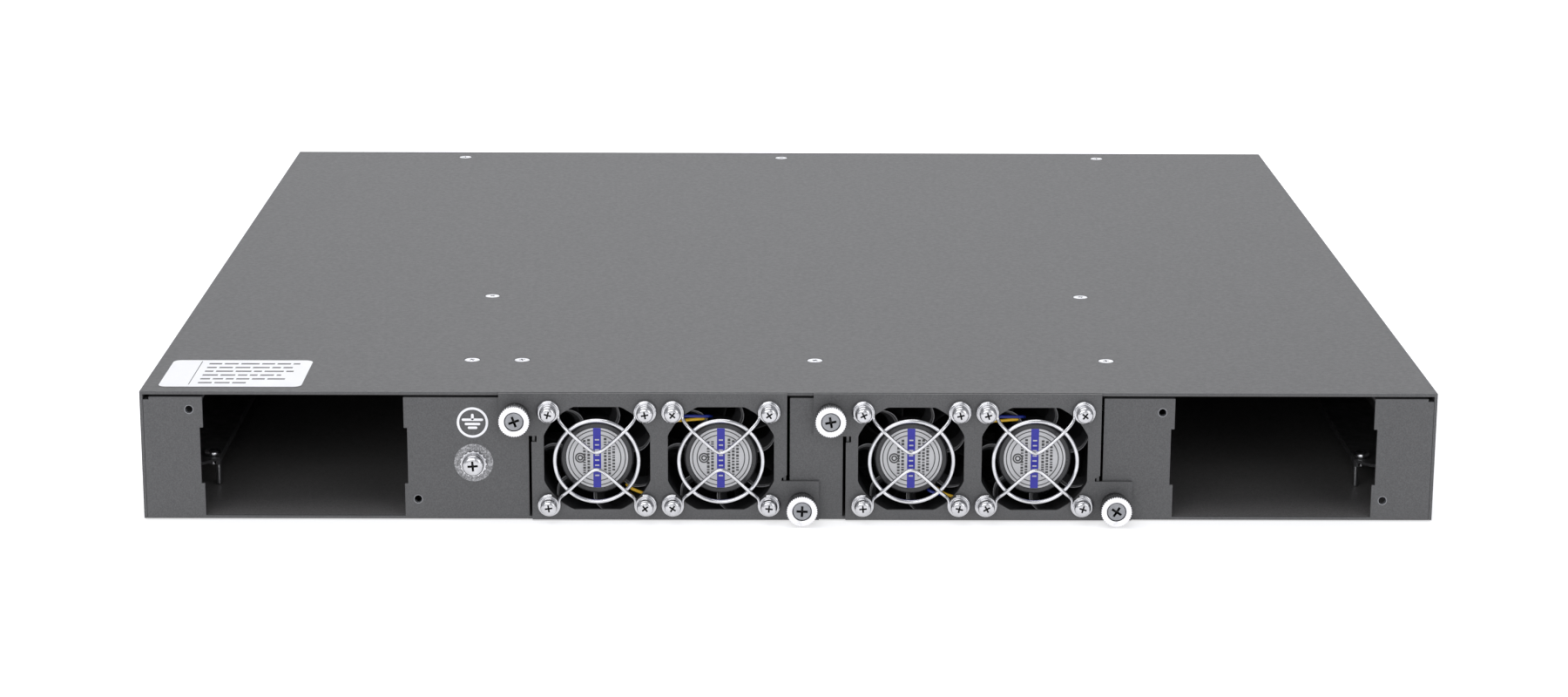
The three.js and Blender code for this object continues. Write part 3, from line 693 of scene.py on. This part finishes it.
def fan_housing(centre):
    """Square housing with a round duct: two flanges with a narrower barrel between them."""
    count = HOUSING_SIDES
    outer = square_ring(20.0, 2.2)
    way = [(math.cos(TAU * i / count), math.sin(TAU * i / count)) for i in range(count)]
    waist, duct, flare = ([(x * radius, z * radius) for x, z in way] for radius in (19.7, 18.95, 19.5))
    levels = [(outer, 0.0), (outer, 3.6), (waist, 3.6), (waist, 24.4), (outer, 24.4), (outer, 28.0),
              (flare, 28.0), (duct, 25.5), (duct, 2.0), (flare, 0.0)]
    points = [(centre.x + x, centre.y + depth, centre.z + z) for ring, depth in levels for x, z in ring]
    faces = []
    for level in range(len(levels)):
        after = (level + 1) % len(levels)
        for i in range(count):
            j = (i + 1) % count
            faces.append([level * count + i, level * count + j, after * count + j, after * count + i])
    return Shape().add(points, faces)


def strut_angle(turn, share):
    """The angle of a strut's middle line, share of the way from the cup to the duct."""
    return turn + math.radians(12 * share - 4 * math.sin(math.pi * share))


def strut_ridge(centre, turn):
    """The path of a strut's outer edge, where a lighter tube is a painted highlight; it ends just short of
    the duct.
    """
    path = []
    for i in range(9):
        radius = CUP_RADIUS + (19.0 - CUP_RADIUS) * i / 8
        angle = strut_angle(turn, i / 8)
        path.append(centre + Vector((radius * math.cos(angle), 1.15, radius * math.sin(angle))))
    return path


def curved_strut(centre, turn):
    """One thin curved strut from the motor cup to the duct."""
    steps = 8
    front, back = [], []
    for i in range(steps + 1):
        share = i / steps
        radius = CUP_RADIUS + (DUCT_RADIUS - CUP_RADIUS) * share
        angle = strut_angle(turn, share)
        way = Vector((math.cos(angle), 0, math.sin(angle)))
        side = Vector((-way.z, 0, way.x)) * 0.3
        for depth, line in ((1.2, front), (5.2, back)):
            lean = side.normalized() * (0.55 * depth)
            base = centre + way * radius + Vector((0, depth, 0)) + lean
            line.append((base - side, base + side))
    points = [corner for pair in front for corner in pair] + [corner for pair in back for corner in pair]
    half = 2 * (steps + 1)
    faces = []
    for i in range(steps):
        a, b, c, d = 2 * i, 2 * i + 1, 2 * i + 2, 2 * i + 3
        faces += [[a, b, d, c], [half + a, half + b, half + d, half + c],
                  [a, c, half + c, half + a], [b, d, half + d, half + b]]
    faces += [[0, 1, half + 1, half], [half - 2, half - 1, 2 * half - 1, 2 * half - 2]]
    return Shape().add(points, faces)


def build_fan_frame(number):
    """Housing, motor cup, curved struts with a painted highlight along their outer edges, label and leads.
    """
    body = f"fan_module_{MODULE_OF[number]}"
    centre = fan_centre(number)
    fan_housing(centre).piece(f"fan_housing_{number}", BLACK, body, "fan_plastic", [f"fan_frame_{number}"])
    cup = Shape().lathe([(0, LABEL_OUT - 0.15), (10.35, LABEL_OUT - 0.15), (10.5, LABEL_OUT + 0.1),
                         (10.9, LABEL_OUT + 0.25), (11.7, LABEL_OUT + 0.1), (12.1, LABEL_OUT - 0.4),
                         (12.2, LABEL_OUT - 1.1), (12.2, -7.6), (11.6, -8.0), (2.2, -8.0), (2.2, -4.4),
                         (0, -4.4)], centre, 64)
    cup.piece(f"fan_motor_cup_{number}", CUP, body, "fan_plastic")
    struts = Shape()
    for strut in range(STRUTS):
        one = curved_strut(centre, TAU * strut / STRUTS + STRUT_TURN)
        struts.add(one.points, one.faces)
    struts.piece(f"fan_struts_{number}", BLACK, body, "fan_plastic")
    # Lighter tubes along the struts' outer edges: a painted highlight.
    ridges = Shape()
    for strut in range(STRUTS):
        ridges.tube(strut_ridge(centre, TAU * strut / STRUTS + STRUT_TURN), 0.16, 8)
    ridges.piece(f"fan_strut_ridges_{number}", EDGE_HIGHLIGHT, body, "fan_plastic")
    build_fan_label(number, centre, body)
    build_fan_leads(number, centre, body)


def chord_strip(centre, radius, left, right, out):
    """A band of a disc between two upright chords."""
    curve = [left + (right - left) * i / 6 for i in range(7)]
    outline = [(x, -math.sqrt(radius ** 2 - x ** 2)) for x in curve]
    outline += [(x, math.sqrt(radius ** 2 - x ** 2)) for x in reversed(curve)]
    placed = [(centre.x + x, centre.z + z) for x, z in outline]
    return Shape().prism(placed, centre.y - out - 0.03, centre.y - out)


def flat_ring(radius, width, out, thick, centre, segments=72):
    """A thin printed ring on a disc."""
    return Shape().lathe(hoop(radius - width / 2, radius + width / 2, out, out + thick), centre, segments)


def build_fan_label(number, centre, body):
    """Round silver label with a blue band, two printed rings and rows of neutral marks."""
    disc = Shape().lathe([(0, LABEL_OUT - 0.2), (10.3, LABEL_OUT - 0.2), (10.3, LABEL_OUT), (0, LABEL_OUT)],
                         centre, 72)
    disc.piece(f"fan_label_{number}", SILVER_LABEL, body, "label_print")
    band = chord_strip(centre, 10.25, -1.3, 1.3, LABEL_OUT)
    band.piece(f"fan_label_band_{number}", BLUE_INK, body, "label_print")
    for index, radius in enumerate((9.4, 7.9), 1):
        ring = flat_ring(radius, 0.34, LABEL_OUT, 0.02, centre)
        ring.piece(f"fan_label_ring_{number}_{index}", GREY_INK, body, "label_print")
    marks = Shape()
    breaks = Shape()
    near = centre.y - LABEL_OUT - 0.04
    far = centre.y - LABEL_OUT
    chance = random.Random(40 + number)
    for column, reach in ((2.7, 6.2), (4.1, 5.8), (5.5, 4.4), (-2.8, 6.0), (-4.2, 5.4)):
        along = -reach
        while along < reach:
            length = chance.uniform(0.4, 0.9)
            x = centre.x + column
            z = centre.z + along
            marks.block((x - 0.45, near, z), (x + 0.45, far, z + length))
            along += length + chance.uniform(0.3, 0.45)
    for place in range(8):
        z = centre.z - 6.3 + 1.75 * place
        breaks.block((centre.x - 0.7, near - 0.03, z), (centre.x + 0.7, far, z + 0.45))
    for radius in (1.5, 0.75):
        mark = flat_ring(radius, 0.5, LABEL_OUT, 0.02, centre + Vector((-5.6, 0, 0)), 32)
        marks.add(mark.points, mark.faces)
    marks.piece(f"fan_label_marks_{number}", GREY_INK, body, "label_print")
    breaks.piece(f"fan_label_band_breaks_{number}", SILVER_LABEL, body, "label_print")


def build_fan_leads(number, centre, body):
    """The motor's leads: each lies across the duct and then dives to the motor (across, depth, up)."""
    if number == 1:
        yellow = [(16.0, 0.5, -12.9), (13.5, 0.45, -12.0), (11.4, 0.6, -11.1), (9.6, 2.6, -10.2)]
    elif number == 3:
        yellow = [(15.5, 0.5, -13.9), (13.0, 0.45, -13.3), (11.0, 0.6, -12.5), (8.8, 2.6, -11.2)]
        blue = [(11.6, 1.8, -13.4), (8.8, 0.6, -12.6), (6.6, 0.6, -11.8), (5.2, 2.6, -11.0)]
    else:
        yellow = [(-15.4, 0.5, 12.4), (-12.0, 0.45, 12.6), (-8.0, 0.5, 12.9), (-5.8, 1.2, 12.9),
                  (-4.8, 3.8, 12.2)]
        blue = [(-13.0, 0.5, 14.0), (-10.0, 0.45, 14.0), (-6.5, 0.5, 13.9), (-4.2, 1.2, 13.8),
                (-3.2, 3.8, 13.0)]
    leads = [("yellow", YELLOW, yellow)] + ([] if number == 1 else [("blue", BLUE, blue)])
    for name, material, route in leads:
        path = [centre + Vector(point) for point in smooth_path(spread_path(route, 6))]
        Shape().tube(path, 0.5, 10).piece(f"fan_lead_{name}_{number}", material, body, "lead_insulation")


def spread_path(points, steps):
    """Adds evenly spaced points along straight stretches."""
    spread = []
    for start, end in zip(points, points[1:]):
        for step in range(steps):
            spread.append(tuple(a + (b - a) * step / steps for a, b in zip(start, end)))
    return [*spread, points[-1]]


def rotor_blade(centre, turn):
    """One curved, twisted blade with a thin trailing edge."""
    across, along = 8, 8
    points, faces = [], []
    for surface in (-1, 1):
        for i in range(across + 1):
            radius = BLADE_ROOT + (BLADE_TIP - BLADE_ROOT) * i / across
            for j in range(along + 1):
                share = j / along
                angle = turn + 0.55 * share + 0.28 * share ** 2 - 0.10 * i / across
                thick = surface * (0.62 * math.sin(math.pi * (0.12 + 0.80 * share)) ** 0.6)
                way = Vector((math.cos(angle), 0, math.sin(angle)))
                side = Vector((-way.z, 0, way.x))
                points.append(centre + way * radius + side * thick * 0.8
                              + Vector((0, 10.0 + 15.5 * share + thick * 0.4, 0)))
    row = along + 1
    total = (across + 1) * row
    for i in range(across):
        for j in range(along):
            a = i * row + j
            faces.append([a, a + 1, a + row + 1, a + row])
            faces.append([total + a, total + a + 1, total + a + row + 1, total + a + row])
    rim = [i * row for i in range(across + 1)] + [across * row + j for j in range(1, row)]
    rim += [i * row + along for i in range(across - 1, -1, -1)] + [j for j in range(along - 1, 0, -1)]
    for a, b in zip(rim, rim[1:] + rim[:1]):
        faces.append([a, b, total + b, total + a])
    return Shape().add(points, faces)


def build_rotor(number):
    """Motor hub with its blades, which turns about the fan's axis."""
    centre = fan_centre(number)
    rotor = Shape().lathe([(0, -5.0), (1.5, -5.0), (1.5, -9.0), (10.9, -9.0), (11.5, -9.5), (11.5, -26.0),
                           (10.9, -26.6), (0, -26.6)], centre, 56)
    for blade in range(BLADES):
        one = rotor_blade(centre, TAU * blade / BLADES + 0.3 * number)
        rotor.add(one.points, one.faces)
    rotor.piece(f"fan_impeller_{number}", ROTOR, f"rotor_{number}", "rotor_plastic", [f"fan_rotor_{number}"])


def guard_bow(centre, up):
    """A wire across the ring, bowed towards the fan's axis, with an eye at both ends."""
    wire_front, eye_front = 3.9, 1.15  # above the face plate: over the ring, and on the eyes
    eye = 3.35
    half = SCREW_HALF_PITCH
    reach = 12.7
    path = []
    for i in range(27):  # the left eye, from its far end round to where the leg leaves it
        angle = math.radians(285 - 310 * i / 26)
        path.append((-half + eye * math.cos(angle), eye_front, half + eye * math.sin(angle)))
    leg = []
    for i in range(33):
        share = -1 + 2 * i / 32
        x = share * reach
        z = 1.05 + 0.965 * math.sqrt(x * x + 1.8 ** 2)
        lift = eye_front + (wire_front - eye_front) * min(1.0, (1 - abs(share)) * 4.5) ** 0.7
        leg.append((x, lift, z))
    right_eye = [(-x, out, z) for x, out, z in reversed(path)]
    whole = [*path, *leg, *right_eye]
    return [(centre.x + x, FACE - out, centre.z + up * z) for x, out, z in smooth_path(whole)]


def smooth_path(points):
    """Softens the corners of a path and keeps its ends."""
    for _ in range(2):
        middle = [tuple((a + 2 * b + c) / 4 for a, b, c in zip(before, here, after))
                  for before, here, after in zip(points, points[1:], points[2:])]
        points = [points[0], *middle, points[-1]]
    return points


def build_guard(number):
    """Finger guard: ring, two bows with eyes, and four pan screws on spring and flat washers."""
    body = f"fan_module_{MODULE_OF[number]}"
    centre = fan_centre(number)
    lowered = Vector((centre.x, FACE, centre.z - 0.3))
    wires = Shape().ring(13.9, 2.75, 0.66, lowered, 96, 14)
    for up in (1, -1):
        wires.tube(guard_bow(centre, up), 0.62, 12)
    wires.piece(f"guard_wires_{number}", CHROME, body, "guard_wire", [f"fan_guard_{number}"], sharp=60)
    for index, (x, z) in enumerate(((-1, -1), (1, -1), (-1, 1), (1, 1)), 1):
        spot = Vector((centre.x + x * SCREW_HALF_PITCH, FACE, centre.z + z * SCREW_HALF_PITCH))
        washers = Shape().lathe(hoop(1.7, 3.4, 1.9, 2.5, 0.1), spot, 40)
        washers.lathe(hoop(1.7, 2.85, 2.5, 3.35, 0.14), spot, 40)
        washers.piece(f"guard_washers_{number}_{index}", ZINC, body, "zinc_fastener")
        head = Shape().lathe(pan_profile(2.75, 2.2, 3.35, 1.5, 8), spot, 40)
        screw_piece(head, f"guard_screw_{number}_{index}", body, spot, 5.55, 1.7, 1.5,
                    turn=random.uniform(0, 90))


def build_thumbscrew(number):
    """Knurled knob with its screw, the collar pressed into the ear, and the sleeve between them."""
    module = f"fan_module_{(number + 1) // 2}"
    knob_body = f"thumbscrew_knob_{number}"
    spot = middle_mm(f"thumbscrew_{number}")
    centre = Vector((spot.x, REAR, spot.z))

    def knurl(angle, radius, out):
        return radius + (0.15 * math.cos(KNURLS * angle) if radius > 4.95 else 0)

    # The knurled side gets the dark copy of the nickel, painted shade.
    knob = Shape().lathe([(3.15, 8.1), (3.2, 8.9), (4.99, 8.9), (5.09, 8.75), (5.09, 5.3), (4.8, 4.95),
                          (4.4, 4.65), (2.0, 4.65), (2.0, 7.6), (3.15, 8.1)], centre, 200, ripple=knurl)
    knob.piece(f"thumbscrew_knurled_knob_{number}", SHADED_KNURL, knob_body, "thumbscrew_knob",
               [f"thumbscrew_{number}"], sharp=50)
    face = Shape().lathe([(3.2, 8.88), (5.04, 8.88), (5.04, 9.15), (4.9, 9.3), (3.35, 9.3), (3.2, 9.15),
                          (3.2, 8.88)], centre, 200, ripple=knurl)
    face.piece(f"thumbscrew_face_{number}", NICKEL, knob_body, "thumbscrew_knob", sharp=50)
    core = Shape().lathe([(0, -4.0), (1.2, -4.0), (1.85, -3.3), (1.85, 7.5), (3.0, 7.9), (3.05, 8.9),
                          (2.85, 9.15), (0, 9.2)], centre, 48)
    screw_piece(core, f"thumbscrew_core_{number}", knob_body, centre, 9.2, 2.4, 2.0,
                turn=random.uniform(0, 90), finish=CORE)
    collar = Shape().lathe(hoop(3.4, 4.6, 1.6, 4.3, 0.18), centre, 56)
    collar.piece(f"thumbscrew_dark_collar_{number}", COLLAR, module, "thumbscrew_collar",
                 [f"thumbscrew_collar_{number}"])
    sleeve = Shape().lathe(hoop(2.25, 3.1, 1.6, 4.3, 0.12), centre, 48)
    sleeve.piece(f"thumbscrew_inner_sleeve_{number}", COLLAR, f"thumbscrew_travel_{number}",
                 "thumbscrew_collar", [f"thumbscrew_sleeve_{number}"])


# ---------------------------------------------------------------- top label


def build_top_label():
    """A plain white label with a divider and rows of neutral dashes, in the place of the original one, on a
    dark rim that is a painted shadow.
    """
    x0, x1 = -210.3, -162.1
    y0, y1 = REAR + 5.9, REAR + 42.9
    # Painted shadow: a thin dark rim in grey ink, 0.35 mm wide, round the edge of the label.
    shadow_rim = Shape().prism(rounded_rectangle((x0, y0), (x1, y1), 3.0), TOP, TOP + 0.07, upright=True)
    shadow_rim.piece("top_label_painted_shadow", GREY_INK, "chassis", "label_print")
    inside = rounded_rectangle((x0 + 0.35, y0 + 0.35), (x1 - 0.35, y1 - 0.35), 2.7)
    sheet = Shape().prism(inside, TOP + 0.02, TOP + 0.10, upright=True)
    sheet.piece("top_label", PAPER, "chassis", "label_print")
    marks = Shape()

    def bar(left, right, near, far):
        corners = [(left, near), (right, near), (right, far), (left, far)]
        marks.prism(corners, TOP + 0.09, TOP + 0.12, upright=True)

    bar(x0 + 10.05, x0 + 10.35, y0 + 3.2, y1 - 2.0)
    chance = random.Random(11)
    for row, length in enumerate((0.96, 0.9, 0.93, 0.82, 0.9, 0.55)):
        far = y1 - 4.6 - 5.2 * row
        left, end = x0 + 13.0, x0 + 13.0 + (x1 - x0 - 16) * length
        while left < end - 1.5:
            right = min(end, left + chance.uniform(2.5, 6.5))
            bar(left, right, far - 1.6, far)
            left = right + 0.9
    marks.piece("top_label_marks", GREY_INK, "chassis", "label_print")


# ---------------------------------------------------------------- front panel

OPENING = 8.9  # height of a cage's opening
JACK_PITCH = 13.2  # between the two management jacks, one above the other
CONTACT_PITCH = 1.02


def build_front():
    """Status lamps between the cage rows, contacts in the management jacks, and spring fingers at the cages.
    """
    lamps = Shape()
    fingers = Shape()
    for block in range(1, 5):
        low, high = box_mm(f"port_cage_{block}")
        middle = (low.z + high.z) / 2
        for column in range(6):
            x = low.x + (high.x - low.x) * (column + 0.5) / 6
            outline = [(x - 1.0, middle - 0.8), (x + 1.0, middle - 0.8), (x, middle + 1.0)]
            lamps.prism(outline, high.y - 0.2, high.y + 0.02)
        for column in range(3):
            for row in (0, 1):
                x = low.x + (high.x - low.x) * (column + 0.5) / 3
                z = low.z + 0.7 if row == 0 else high.z - 0.9 - OPENING
                for lip in (0, 1):
                    height = z + (8.5 if lip else 0.0)
                    for finger in (-4.2, 0, 4.2):
                        fingers.block((x + finger - 1.3, high.y - 7, height + 0.02),
                                      (x + finger + 1.3, high.y - 0.4, height + 0.3))
    lamps.piece("port_lamps", GREEN_LENS, "chassis", "lamp_lens")
    fingers.piece("cage_spring_fingers", TIN, "chassis", "cage_steel", bevel=0.05)
    low, high = box_mm("management_jacks")
    contacts = Shape()
    for row in (0, 1):
        base = low.z + 1.5 + JACK_PITCH * row
        for pin in range(8):
            x = (low.x + high.x) / 2 + (pin - 3.5) * CONTACT_PITCH
            spring = [(3, 7.6), (8, 6.2), (13, 4.0)]
            contacts.tube([(x, high.y - inside, base + height) for inside, height in spring], 0.2, 8)
    contacts.piece("jack_contacts", GOLD, "chassis", "gold_contact")


# ---------------------------------------------------------------- CAD pieces and the floor


def finish_cad_parts():
    """Gives every CAD piece its finish, and the folded sheets a small edge radius."""
    rounded = {"top_cover": 0.22, "rear_panel": 0.22, "front_panel": 0.25, "base_tray": 0.2,
               "fan_tray_1": 0.2, "fan_tray_2": 0.2}
    looks = {"powder_coat": COAT, "inner_steel": INNER, "circuit_board": BOARD, "heat_sink": EXTRUSION,
             "cage_steel": TIN, "connector_plastic": BLACK, "fan_plastic": BLACK, "rotor_plastic": ROTOR,
             "guard_wire": CHROME, "zinc_fastener": ZINC, "thumbscrew_knob": NICKEL,
             "thumbscrew_collar": COLLAR}
    for part in frame["record"]["subparts"]:
        node = frame["nodes"][part["node"]]
        node.data.materials.clear()
        # The base tray takes the lighter copy of the coat, painted light.
        is_tray = part["node"] == "base_tray"
        node.data.materials.append(LIT_TRAY_COAT if is_tray else looks[part["material_slot"]])
        if part["node"] in rounded:
            round_edges(node, rounded[part["node"]])


def build_floor():
    """The white floor of the studio. It glows a little, so that it is as white as the photograph."""
    size = 6.0  # metres each way
    mesh = bpy.data.meshes.new("floor")
    corners = [(-size, -size, 0), (size, -size, 0), (size, size, 0), (-size, size, 0)]
    mesh.from_pydata(corners, [], [[0, 1, 2, 3]])
    floor = bpy.data.objects.new("floor", mesh)
    bpy.context.scene.collection.objects.link(floor)
    floor.location.z = -0.5 * MM
    pale = Finish("pale_floor", grey(0.72), 0.6)
    pale.color_from(pale.noise(60, 2.0), [(0.3, grey(0.71)), (0.7, grey(0.73))])
    pale.set("Emission Color", (1, 1, 1, 1))
    pale.set("Emission Strength", 0.6)
    mesh.materials.append(pale.material)


place_camera()
light_scene()
build_floor()
finish_cad_parts()
build_cover_screws()
build_rail_screws()
build_ground()
build_tapped_holes()
for fan in FANS:
    build_fan_frame(fan)
    build_rotor(fan)
    build_guard(fan)
    build_thumbscrew(fan)
build_top_label()
build_front()
